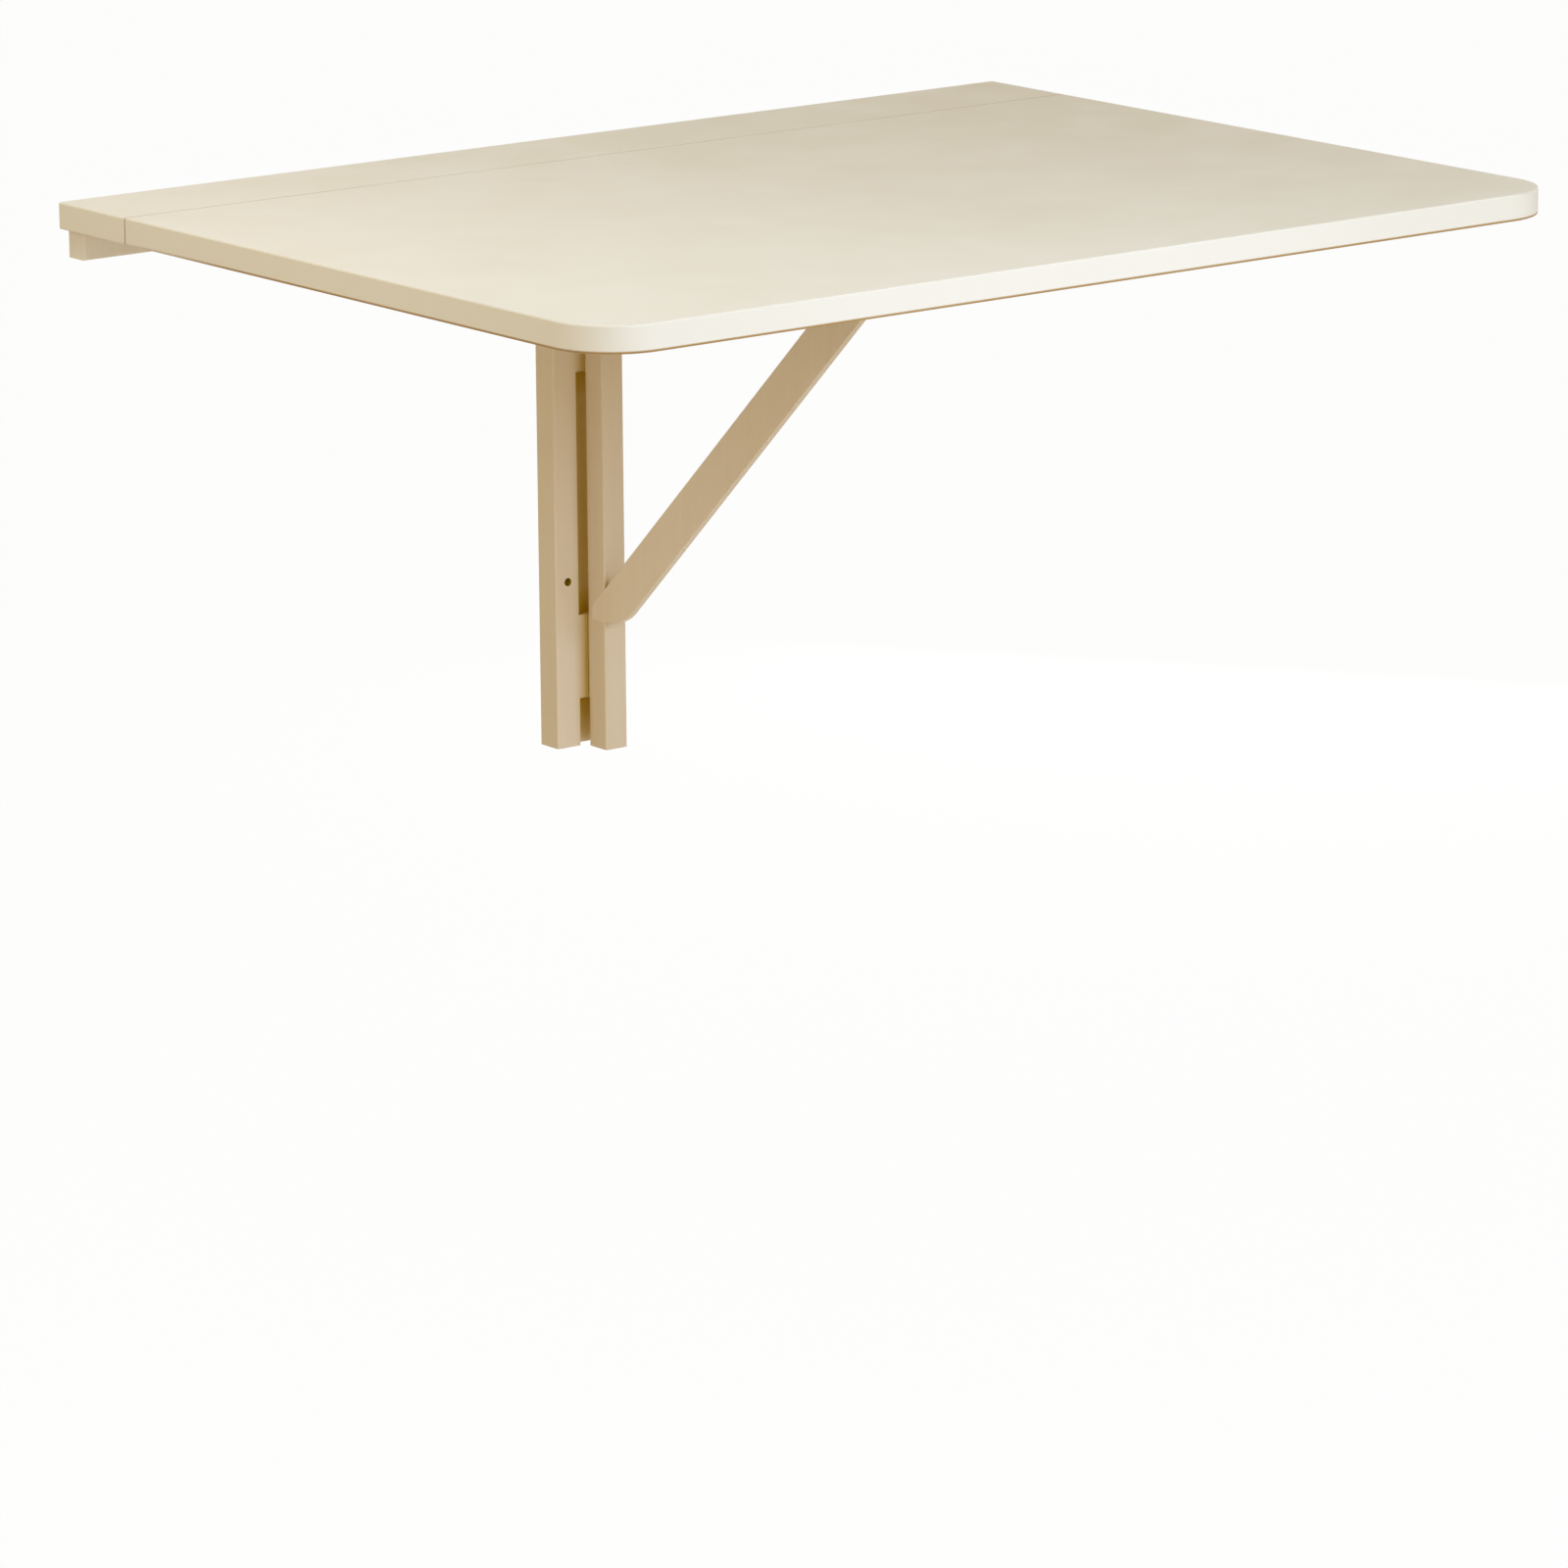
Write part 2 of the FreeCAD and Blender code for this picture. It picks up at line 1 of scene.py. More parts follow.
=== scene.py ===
# %% [markdown]
# # A wall mounted drop leaf table
#
# The table hangs on a wall: a narrow fixed leaf on a ledger, a wide drop leaf on three butt hinges, and a
# gate that swings out under the leaf to carry it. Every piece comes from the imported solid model, in metres,
# with the wall at Y = 0, the table standing out towards -Y and Z up. This lesson gives each piece its finish,
# cuts the driver recess into the screws, then sets the camera and the light.

# %% Load the solid model
import math

import bmesh
import bpy
from mathutils import Matrix, Vector


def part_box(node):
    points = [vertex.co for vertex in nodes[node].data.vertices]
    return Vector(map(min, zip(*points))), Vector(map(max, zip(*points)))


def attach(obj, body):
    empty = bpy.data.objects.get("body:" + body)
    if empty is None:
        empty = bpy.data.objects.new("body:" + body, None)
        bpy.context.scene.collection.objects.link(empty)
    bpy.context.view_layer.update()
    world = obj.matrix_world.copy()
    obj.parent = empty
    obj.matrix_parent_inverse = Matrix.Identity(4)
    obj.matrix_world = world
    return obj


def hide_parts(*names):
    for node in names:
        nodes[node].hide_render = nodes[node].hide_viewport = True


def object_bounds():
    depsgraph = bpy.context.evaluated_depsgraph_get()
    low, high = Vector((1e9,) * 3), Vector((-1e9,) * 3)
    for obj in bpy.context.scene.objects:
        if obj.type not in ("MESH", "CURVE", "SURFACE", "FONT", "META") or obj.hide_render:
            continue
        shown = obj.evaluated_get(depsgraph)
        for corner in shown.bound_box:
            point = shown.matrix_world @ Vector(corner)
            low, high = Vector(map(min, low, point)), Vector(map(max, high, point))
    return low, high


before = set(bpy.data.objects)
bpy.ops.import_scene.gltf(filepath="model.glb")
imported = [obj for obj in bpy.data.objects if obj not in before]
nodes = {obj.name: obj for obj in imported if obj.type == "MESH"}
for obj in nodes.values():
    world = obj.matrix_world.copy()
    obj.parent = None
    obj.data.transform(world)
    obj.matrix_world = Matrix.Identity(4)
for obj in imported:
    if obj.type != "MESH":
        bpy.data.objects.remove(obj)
cad_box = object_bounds()
scene = bpy.context.scene
print("pieces:", len(nodes), "box:", cad_box)

# %% [markdown]
# ## The camera
#
# The camera was found by fitting the edges of the open top to the photograph. It is a long lens, far from
# the table, a little to the left, looking down by about 14 degrees. The fit gives the turn, the tilt, a
# slight roll and the place, so they are written as numbers here instead of being aimed by eye.

# %% Place the camera
CAMERA_PLACE = Vector((-3.0968, -4.2533, 0.8850))
CAMERA_TURN = math.radians(-37.82)
CAMERA_TILT = math.radians(14.08)
CAMERA_ROLL = math.radians(-0.408)
CAMERA_LENS = 176.0
SENSOR_WIDTH = 36.0
VIEW_DEPTH = 50.0

forward = Vector((-math.sin(CAMERA_TURN) * math.cos(CAMERA_TILT),
                  math.cos(CAMERA_TURN) * math.cos(CAMERA_TILT),
                  -math.sin(CAMERA_TILT)))
level_right = Vector((math.cos(CAMERA_TURN), math.sin(CAMERA_TURN), 0))
level_up = level_right.cross(forward)
right = math.cos(CAMERA_ROLL) * level_right + math.sin(CAMERA_ROLL) * level_up
up = math.cos(CAMERA_ROLL) * level_up - math.sin(CAMERA_ROLL) * level_right

camera = bpy.data.objects.new("camera", bpy.data.cameras.new("camera"))
scene.collection.objects.link(camera)
camera.data.sensor_width = SENSOR_WIDTH
camera.data.sensor_fit = "HORIZONTAL"
camera.data.lens = CAMERA_LENS
camera.data.clip_end = VIEW_DEPTH
axes = Matrix((right, up, -forward)).transposed().to_4x4()
camera.matrix_world = Matrix.Translation(CAMERA_PLACE) @ axes
scene.camera = camera
print("camera at", tuple(camera.matrix_world.translation), "lens", camera.data.lens)

# %% [markdown]
# ## Helpers for shader nodes
#
# A material is a graph of nodes. One helper adds a node and feeds its inputs, either with a plain value or
# with a link from another node. A second makes an empty node group with named inputs and outputs. A group is
# built once and placed in each material that needs its effect, with that material's own values.

# %% Node and group helpers
FLOAT = "NodeSocketFloat"
COLOUR = "NodeSocketColor"
VECTOR = "NodeSocketVector"


def add_node(tree, kind, inputs=None, **settings):
    """Adds a node. Its settings come first, because some of them change which inputs it has."""
    node = tree.nodes.new(kind)
    for name, value in settings.items():
        setattr(node, name, value)
    for name, value in (inputs or {}).items():
        if isinstance(value, bpy.types.NodeSocket):
            tree.links.new(value, node.inputs[name])
        else:
            node.inputs[name].default_value = value
    return node


def new_group(name, inputs, outputs):
    """An empty group. Returns its tree, the sockets that it is given, and the node that takes its results."""
    tree = bpy.data.node_groups.new(name, "ShaderNodeTree")
    for label, kind, value in inputs:
        socket = tree.interface.new_socket(label, in_out="INPUT", socket_type=kind)
        if value is not None:
            socket.default_value = value
    for label, kind in outputs:
        tree.interface.new_socket(label, in_out="OUTPUT", socket_type=kind)
    source = tree.nodes.new("NodeGroupInput")
    target = tree.nodes.new("NodeGroupOutput")
    return tree, source.outputs, target


def use_group(tree, group, inputs=None):
    return add_node(tree, "ShaderNodeGroup", inputs, node_tree=group)


print("socket kinds:", FLOAT, COLOUR, VECTOR)

# %% [markdown]
# ## Helpers for the nodes that come up often
#
# Most finishes are noise, stretched to a useful range, that mixes two colours or raises a faint relief. The
# Mix node repeats its socket names for each kind of value, so its colour sockets are picked by number.

# %% Helpers for mixing, noise and relief
MIX_FACTOR = 0
MIX_FIRST = 6
MIX_SECOND = 7
MIX_RESULT = 2
NOISE_LOW = 0.3
NOISE_HIGH = 0.7


def mix_colour(tree, factor, first, second, blend="MIX"):
    node = add_node(tree, "ShaderNodeMix", {MIX_FACTOR: factor, MIX_FIRST: first, MIX_SECOND: second},
                    data_type="RGBA", blend_type=blend)
    return node.outputs[MIX_RESULT]


def calculate(tree, operation, first, second):
    node = add_node(tree, "ShaderNodeMath", {0: first, 1: second}, operation=operation)
    return node.outputs["Value"]


def ramp(tree, value, start, end, low=0.0, high=1.0):
    """Runs from low to high while the value runs from start to end."""
    node = add_node(tree, "ShaderNodeMapRange", {"Value": value, "From Min": start, "From Max": end,
                                                 "To Min": low, "To Max": high})
    return node.outputs["Result"]


def spread(tree, value, low, high):
    """Stretches a noise value, which seldom leaves its middle range, to run from low to high."""
    return ramp(tree, value, NOISE_LOW, NOISE_HIGH, low, high)


def noise(tree, place, scale, detail, roughness=0.5, distortion=0.0):
    node = add_node(tree, "ShaderNodeTexNoise", {"Vector": place, "Scale": scale, "Detail": detail,
                                                 "Roughness": roughness, "Distortion": distortion})
    return node.outputs["Fac"]


def relief(tree, height, strength, depth, normal=None):
    """A bump of the given depth in metres, on top of another normal if there is one."""
    inputs = {"Height": height, "Strength": strength, "Distance": depth}
    if normal is not None:
        inputs["Normal"] = normal
    return add_node(tree, "ShaderNodeBump", inputs).outputs["Normal"]


print("noise is stretched from", NOISE_LOW, "to", NOISE_HIGH)

# %% [markdown]
# ## Sprayed lacquer
#
# The boards and battens wear the same satin ivory lacquer, sprayed on in a workshop. Close up it is not one
# flat colour: the coat is a little thicker in some places and a little warmer in others, it has the shallow
# dimples that sprayers call orange peel, and its gloss varies. One group makes all three from noise of
# different sizes, read from Object coordinates, so the scale is in real metres.

# %% Lacquer group
DARKEST_SPECK = 0.985

lacquer, given, result = new_group(
    "sprayed lacquer",
    [("Place", VECTOR, None), ("Tone", COLOUR, None), ("Warm Tone", COLOUR, None),
     ("Gloss Low", FLOAT, 0.36), ("Gloss High", FLOAT, 0.5)],
    [("Color", COLOUR), ("Roughness", FLOAT), ("Height", FLOAT)])
cloud = noise(lacquer, given["Place"], scale=4.5, detail=4.0)
speck = noise(lacquer, given["Place"], scale=900.0, detail=2.0)
peel = noise(lacquer, given["Place"], scale=240.0, detail=1.5)
patch = noise(lacquer, given["Place"], scale=22.0, detail=3.0)
warm = spread(lacquer, cloud, 0.0, 1.0)
broad_colour = mix_colour(lacquer, warm, given["Tone"], given["Warm Tone"])
speck_shade = spread(lacquer, speck, DARKEST_SPECK, 1.0)
speck_grey = add_node(lacquer, "ShaderNodeCombineColor",
                      {"Red": speck_shade, "Green": speck_shade, "Blue": speck_shade}).outputs["Color"]
fine_colour = mix_colour(lacquer, 1.0, broad_colour, speck_grey, "MULTIPLY")
gloss = spread(lacquer, patch, given["Gloss Low"], given["Gloss High"])
lacquer.links.new(fine_colour, result.inputs["Color"])
lacquer.links.new(gloss, result.inputs["Roughness"])
lacquer.links.new(peel, result.inputs["Height"])
print("lacquer group:", len(lacquer.nodes), "nodes")

# %% [markdown]
# ## Edge tone
#
# On a real lacquered board the coat runs thin over the arrises, so a little of the warm primer shows there.
# The Bevel node looks at the surface close by and returns a rounded normal. Where that differs from the true
# normal there is an edge within reach, and the difference makes a mask.

# %% Edge group
edge, given, result = new_group("edge tone", [("Reach", FLOAT, 0.0022)], [("Mask", FLOAT)])
soft_normal = add_node(edge, "ShaderNodeBevel", {"Radius": given["Reach"]}, samples=4)
true_normal = add_node(edge, "ShaderNodeNewGeometry")
likeness = add_node(edge, "ShaderNodeVectorMath", {0: soft_normal.outputs["Normal"],
                                                   1: true_normal.outputs["Normal"]}, operation="DOT_PRODUCT")
near_edge = ramp(edge, likeness.outputs["Value"], start=0.97, end=0.75)
edge.links.new(near_edge, result.inputs["Mask"])
print("edge group:", len(edge.nodes), "nodes")

# %% [markdown]
# ## Shade in the recesses
#
# Light that finds its way into a narrow slot between lacquered faces has bounced many times, and each bounce
# makes it more golden. Here that shade is painted into the base colour: an Ambient Occlusion node tells how
# closed in a place is, and that makes a mask for a dark golden painted shade.

# %% Recess group
recess, given, result = new_group("painted recess shade", [("Reach", FLOAT, 0.02)], [("Mask", FLOAT)])
openness = add_node(recess, "ShaderNodeAmbientOcclusion", {"Distance": given["Reach"]}, samples=8)
closed_in = ramp(recess, openness.outputs["AO"], start=0.68, end=0.42)
recess.links.new(closed_in, result.inputs["Mask"])
print("recess group:", len(recess.nodes), "nodes")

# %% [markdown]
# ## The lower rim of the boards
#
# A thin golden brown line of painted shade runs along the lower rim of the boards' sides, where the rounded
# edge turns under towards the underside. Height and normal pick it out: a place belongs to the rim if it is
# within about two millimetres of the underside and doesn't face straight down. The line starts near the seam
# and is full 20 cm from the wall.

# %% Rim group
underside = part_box("drop_leaf")[0].z
rim, given, result = new_group("lower rim shade", [("Place", VECTOR, None), ("Underside", FLOAT, underside),
                                             ("Height", FLOAT, 0.0021), ("Fade", FLOAT, 0.0008),
                                             ("Start", FLOAT, -0.07), ("Full", FLOAT, -0.20)],
                              [("Mask", FLOAT)])
split_place = add_node(rim, "ShaderNodeSeparateXYZ", {"Vector": given["Place"]})
rim_top = calculate(rim, "ADD", given["Underside"], given["Height"])
rim_full = calculate(rim, "SUBTRACT", rim_top, given["Fade"])
low_down = ramp(rim, split_place.outputs["Z"], rim_top, rim_full)
off_wall = ramp(rim, split_place.outputs["Y"], given["Start"], given["Full"])
face = add_node(rim, "ShaderNodeNewGeometry")
split_face = add_node(rim, "ShaderNodeSeparateXYZ", {"Vector": face.outputs["True Normal"]})
sideways = ramp(rim, split_face.outputs["Z"], start=-0.97, end=-0.8)
on_rim = calculate(rim, "MULTIPLY", low_down, sideways)
rim_share = calculate(rim, "MULTIPLY", on_rim, off_wall)
rim.links.new(rim_share, result.inputs["Mask"])
print("rim group:", len(rim.nodes), "nodes, underside at", underside)

# %% [markdown]
# ## Wood grain under the coat
#
# The ledger, the posts, the arm and the strut are sawn from softwood. The lacquer hides its colour but not
# all of its grain, which stays as long shallow ridges along each stick. Noise stretched along one axis gives
# that, and a Mapping node in each material turns the long axis along the stick.

# %% Grain group
grain, given, result = new_group("grain under the coat", [("Place", VECTOR, None)],
                                 [("Height", FLOAT), ("Shade", FLOAT)])
ridge = noise(grain, given["Place"], scale=1.0, detail=5.0, roughness=0.6, distortion=0.4)
shade = spread(grain, ridge, 0.0, 1.0)
grain.links.new(ridge, result.inputs["Height"])
grain.links.new(shade, result.inputs["Shade"])
print("grain group:", len(grain.nodes), "nodes")

# %% [markdown]
# ## The lacquer as a material
#
# All lacquered pieces share one function. It lays the coat, lets the primer through at the edges and paints
# a dark golden shade into the recesses. The boards also take a painted golden shade line along their lower
# rim, and the sticks the grain. The gate's hinges, sprayed with the posts, take neither.

# %% Lacquer function
PRIMER = (0.66, 0.52, 0.34, 1.0)
RECESS_SHADE_GOLD = (0.53, 0.33, 0.004, 1.0)
RIM_SHADE_GOLD = (0.40, 0.235, 0.08, 1.0)
EDGE_SHARE = 0.22
PEEL_STRENGTH = 0.25
PEEL_DEPTH = 0.0001
GRAIN_SCALE = (160.0, 160.0, 5.0)
GRAIN_SHARE = 0.18
RIDGE_STRENGTH = 0.3
RIDGE_DEPTH = 0.00025
SATIN_SPECULAR = 0.22


def new_material(name):
    material = bpy.data.materials.new(name)
    material.use_nodes = True
    tree = material.node_tree
    surface = tree.nodes["Principled BSDF"]
    place = add_node(tree, "ShaderNodeTexCoord").outputs["Object"]
    return material, tree, surface, place


def lacquered(name, tone, warm_tone, grain_turn=None, rim_shaded=False, recess_shade_share=1.0):
    """Satin lacquer. grain_turn is the rotation that lays the grain along a stick, or None for no grain."""
    material, tree, surface, place = new_material(name)
    coat = use_group(tree, lacquer, {"Place": place, "Tone": tone, "Warm Tone": warm_tone})
    thin = calculate(tree, "MULTIPLY", use_group(tree, edge).outputs["Mask"], EDGE_SHARE)
    colour = mix_colour(tree, thin, coat.outputs["Color"], PRIMER)
    normal = relief(tree, coat.outputs["Height"], PEEL_STRENGTH, PEEL_DEPTH)
    # Painted shade: the boards get a thin golden brown line along their lower rim.
    if rim_shaded:
        rim_shade_line = use_group(tree, rim, {"Place": place})
        colour = mix_colour(tree, rim_shade_line.outputs["Mask"], colour, RIM_SHADE_GOLD)
    if grain_turn is not None:
        turned = add_node(tree, "ShaderNodeMapping", {"Vector": place, "Rotation": grain_turn,
                                                      "Scale": GRAIN_SCALE})
        ridges = use_group(tree, grain, {"Place": turned.outputs["Vector"]})
        faint = calculate(tree, "MULTIPLY", ridges.outputs["Shade"], GRAIN_SHARE)
        colour = mix_colour(tree, faint, colour, PRIMER)
        normal = relief(tree, ridges.outputs["Height"], RIDGE_STRENGTH, RIDGE_DEPTH, normal)
    # Painted shade: the base colour turns dark gold where the recess mask finds the place closed in.
    golden = calculate(tree, "MULTIPLY", use_group(tree, recess).outputs["Mask"], recess_shade_share)
    colour = mix_colour(tree, golden, colour, RECESS_SHADE_GOLD)
    tree.links.new(colour, surface.inputs["Base Color"])
    tree.links.new(coat.outputs["Roughness"], surface.inputs["Roughness"])
    tree.links.new(normal, surface.inputs["Normal"])
    surface.inputs["Specular IOR Level"].default_value = SATIN_SPECULAR
    return material


print("primer", PRIMER, "recess", RECESS_SHADE_GOLD, "rim", RIM_SHADE_GOLD)

# %% [markdown]
# ## Lacquered boards and sticks
#
# The seam between the boards and the ledger under them catch light, so they get less painted recess shade.
# The sticks wear the boards' lacquer, but their tones hold painted shade: they hang in the top's shade, so
# they are darker and warmer, the gate's post darker still and the strut a little lighter. The ledger's tone
# is lighter than the boards', as painted light for its end face under the overhang. A turn of zero leaves the
# grain upright, as on the posts.

# %% Lacquer materials
IVORY = (0.80, 0.735, 0.635, 1.0)
IVORY_WARM = (0.785, 0.715, 0.605, 1.0)
# Painted light: the ledger's tone is lighter than the boards' to lift its end face in the overhang's shade.
LIT_LEDGER_IVORY = (0.85, 0.79, 0.71, 1.0)
LIT_LEDGER_WARM = (0.835, 0.77, 0.68, 1.0)
# Painted shade: the sticks wear the boards' lacquer, in darker and warmer tones for the top's shade.
SHADED_STICK_IVORY = (0.785, 0.665, 0.51, 1.0)
SHADED_STICK_WARM = (0.76, 0.63, 0.465, 1.0)
SHADED_STRUT_IVORY = (0.82, 0.695, 0.55, 1.0)
SHADED_STRUT_WARM = (0.795, 0.66, 0.505, 1.0)
SHADED_GATE_IVORY = (0.745, 0.62, 0.465, 1.0)
SHADED_GATE_WARM = (0.72, 0.59, 0.425, 1.0)
QUARTER_TURN = math.radians(90)
STRUT_LEAN = math.radians(46.6)
UPRIGHT = (0, 0, 0)
ALONG_X = (0, QUARTER_TURN, 0)
ALONG_Y = (QUARTER_TURN, 0, 0)
ALONG_STRUT = (-STRUT_LEAN, 0, 0)

board_finish = lacquered("ivory lacquer on board", IVORY, IVORY_WARM, rim_shaded=True, recess_shade_share=0.35)
wall_post_finish = lacquered("ivory lacquer on wall post", SHADED_STICK_IVORY, SHADED_STICK_WARM, UPRIGHT)
gate_post_finish = lacquered("ivory lacquer on gate post", SHADED_GATE_IVORY, SHADED_GATE_WARM, UPRIGHT)
ledger_finish = lacquered("ivory lacquer on ledger", LIT_LEDGER_IVORY, LIT_LEDGER_WARM, ALONG_X, recess_shade_share=0.1)
arm_finish = lacquered("ivory lacquer on arm", SHADED_STICK_IVORY, SHADED_STICK_WARM, ALONG_Y)
strut_finish = lacquered("ivory lacquer on strut", SHADED_STRUT_IVORY, SHADED_STRUT_WARM, ALONG_STRUT)
gate_hinge_finish = lacquered("ivory lacquer on gate hinges", SHADED_STICK_IVORY, SHADED_STICK_WARM)
print("lacquer materials:", sum(1 for material in bpy.data.materials if "lacquer" in material.name))

# %% [markdown]
# ## Brushed plating
#
# The leaf's hinges are nickel plated and brushed along their length, and the screws are zinc plated. Both
# share a group that makes fine scratches along one axis and a few duller patches.

# %% Plating group
BRIGHT_ROUGHNESS = 0.26
DULL_ROUGHNESS = 0.42

plating, given, result = new_group(
    "brushed plating", [("Place", VECTOR, None), ("Tone", COLOUR, None), ("Dull Tone", COLOUR, None)],
    [("Color", COLOUR), ("Roughness", FLOAT), ("Height", FLOAT)])
scratch = noise(plating, given["Place"], scale=1.0, detail=4.0)
blot = noise(plating, given["Place"], scale=0.06, detail=3.0)
dull = spread(plating, blot, 0.0, 1.0)
plating.links.new(mix_colour(plating, dull, given["Tone"], given["Dull Tone"]), result.inputs["Color"])
plating.links.new(spread(plating, scratch, BRIGHT_ROUGHNESS, DULL_ROUGHNESS), result.inputs["Roughness"])
plating.links.new(scratch, result.inputs["Height"])
print("plating group:", len(plating.nodes), "nodes")

# %% Plated materials
NICKEL = (0.74, 0.71, 0.65, 1.0)
NICKEL_DULL = (0.62, 0.58, 0.51, 1.0)
ZINC = (0.60, 0.61, 0.62, 1.0)
ZINC_DULL = (0.44, 0.44, 0.43, 1.0)
BRUSHED_ALONG_X = (60.0, 2200.0, 2200.0)
UNBRUSHED = (1500.0, 1500.0, 1500.0)
SCRATCH_STRENGTH = 0.15
SCRATCH_DEPTH = 0.00005


def plated(name, tone, dull_tone, stretch):
    """Plated steel. stretch is the noise scale along X, Y and Z: the smallest one runs with the brushing."""
    material, tree, surface, place = new_material(name)
    scaled = add_node(tree, "ShaderNodeMapping", {"Vector": place, "Scale": stretch})
    plate = use_group(tree, plating, {"Place": scaled.outputs["Vector"], "Tone": tone,
                                      "Dull Tone": dull_tone})
    normal = relief(tree, plate.outputs["Height"], SCRATCH_STRENGTH, SCRATCH_DEPTH)
    tree.links.new(plate.outputs["Color"], surface.inputs["Base Color"])
    tree.links.new(plate.outputs["Roughness"], surface.inputs["Roughness"])
    tree.links.new(normal, surface.inputs["Normal"])
    surface.inputs["Metallic"].default_value = 1.0
    return material


leaf_hinge_finish = plated("brushed nickel along the seam", NICKEL, NICKEL_DULL, BRUSHED_ALONG_X)
screw_finish = plated("zinc plate", ZINC, ZINC_DULL, UNBRUSHED)
print("plated materials:", leaf_hinge_finish.name, "and", screw_finish.name)

# %% [markdown]
# ## Bare beech dowels
#
# The dowels that join the sticks are bare beech, and hidden once the table is put together. They use the same
# grain as the sticks, finer and with more contrast, because there is no coat over it.

# %% Dowel material
BEECH = (0.68, 0.47, 0.29, 1.0)
BEECH_DARK = (0.50, 0.31, 0.17, 1.0)
FIBRE_SCALE = (900.0, 400.0, 400.0)
FIBRE_STRENGTH = 0.3
FIBRE_DEPTH = 0.0001
BEECH_ROUGHNESS = 0.7

dowel_finish, tree, surface, place = new_material("bare beech")
fibre = add_node(tree, "ShaderNodeMapping", {"Vector": place, "Scale": FIBRE_SCALE})
ridges = use_group(tree, grain, {"Place": fibre.outputs["Vector"]})
tree.links.new(mix_colour(tree, ridges.outputs["Shade"], BEECH, BEECH_DARK), surface.inputs["Base Color"])
beech_normal = relief(tree, ridges.outputs["Height"], FIBRE_STRENGTH, FIBRE_DEPTH)
tree.links.new(beech_normal, surface.inputs["Normal"])
surface.inputs["Roughness"].default_value = BEECH_ROUGHNESS
print("dowel material:", dowel_finish.name)

# %% [markdown]
# ## Which piece wears which finish
#
# The finish follows from the piece's name. A loop over the nodes keeps this in one place, and it prints a
# count so that a piece without a finish would show up at once.

# %% Assign the finishes
WOODEN_PIECES = {"fixed_leaf": board_finish, "drop_leaf": board_finish, "wall_ledger": ledger_finish,
                 "wall_post": wall_post_finish, "gate_post": gate_post_finish, "gate_arm": arm_finish,
                 "gate_strut": strut_finish}


def finish_for(name):
    if name in WOODEN_PIECES:
        return WOODEN_PIECES[name]
    if "dowel" in name:
        return dowel_finish
    if "screw" in name:
        return screw_finish
    return leaf_hinge_finish if name.startswith("leaf") else gate_hinge_finish


for name, piece in nodes.items():
    piece.data.materials.clear()
    piece.data.materials.append(finish_for(name))
print("finished pieces:", sum(1 for piece in nodes.values() if piece.data.materials))

# %% [markdown]
# ## Screws with a cross recess
#
# The solid model has plain countersunk screws. Real ones are driven by a cross recess, and their heads end up
# turned every which way. A small grid gives the recess: the five middle faces form a cross and are pushed in.
# The grid's border is then drawn out to the round rim of the head, and on to the cone, the shank and the
# point. One screw of each size is made at the origin, and copies go to the places that the solid model gives.
# The grid and the recess are shares of the head's radius, and the point is a share of the shank's.

# %% Screw shapes
GRID_CELLS = 5
GRID_SHARE = 0.62
RECESS_DEPTH_SHARE = 0.4
RECESS_TAPER = 0.8
POINT_RADIUS_SHARE = 0.2
POINT_LENGTH_SHARE = 2.0


def pull_out(shape, radius, drop):
    """Draws the open border of a shape out to a circle, lower by drop."""
    border = [e for e in shape.edges if e.is_boundary]
    made = bmesh.ops.extrude_edge_only(shape, edges=border)["geom"]
    for vert in [item for item in made if isinstance(item, bmesh.types.BMVert)]:
        flat = Vector((vert.co.x, vert.co.y, 0)).normalized()
        vert.co = flat * radius + Vector((0, 0, vert.co.z - drop))


def push_in_cross(shape, cell, depth):
    """Pushes the middle face of a grid and its four neighbours down, a little narrower at the floor."""
    cross = []
    for one in shape.faces:
        middle = one.calc_center_median()
        across, along = sorted((abs(middle.x), abs(middle.y)))
        if across < cell * 0.5 and along < cell * 1.5:
            cross.append(one)
    pushed = bmesh.ops.extrude_face_region(shape, geom=cross)["geom"]
    floor_verts = [item for item in pushed if isinstance(item, bmesh.types.BMVert)]
    bmesh.ops.scale(shape, vec=(RECESS_TAPER, RECESS_TAPER, 1), verts=floor_verts)
    bmesh.ops.translate(shape, vec=(0, 0, -depth), verts=floor_verts)
    bmesh.ops.delete(shape, geom=[one for one in cross if one.is_valid], context="FACES")


def recessed_screw(head_radius, shank_radius, length):
    """A countersunk screw at the origin, its head facing +Z."""
    shape = bmesh.new()
    half = head_radius * GRID_SHARE
    bmesh.ops.create_grid(shape, x_segments=GRID_CELLS, y_segments=GRID_CELLS, size=half)
    push_in_cross(shape, cell=2 * half / GRID_CELLS, depth=head_radius * RECESS_DEPTH_SHARE)
    cone_height = head_radius - shank_radius
    point_length = shank_radius * POINT_LENGTH_SHARE
    pull_out(shape, head_radius, 0)
    pull_out(shape, shank_radius, cone_height)
    pull_out(shape, shank_radius, length - cone_height - point_length)
    pull_out(shape, shank_radius * POINT_RADIUS_SHARE, point_length)
    bmesh.ops.holes_fill(shape, edges=[e for e in shape.edges if e.is_boundary])
    bmesh.ops.recalc_face_normals(shape, faces=shape.faces)
    mesh = bpy.data.meshes.new("screw")
    shape.to_mesh(mesh)
    shape.free()
    return mesh


plate_screw = recessed_screw(head_radius=0.0026, shank_radius=0.0015, length=0.014)
ledger_screw = recessed_screw(head_radius=0.0040, shank_radius=0.0020, length=0.032)
strut_screw = recessed_screw(head_radius=0.0040, shank_radius=0.0020, length=0.017)
print("faces per screw:", len(plate_screw.polygons))

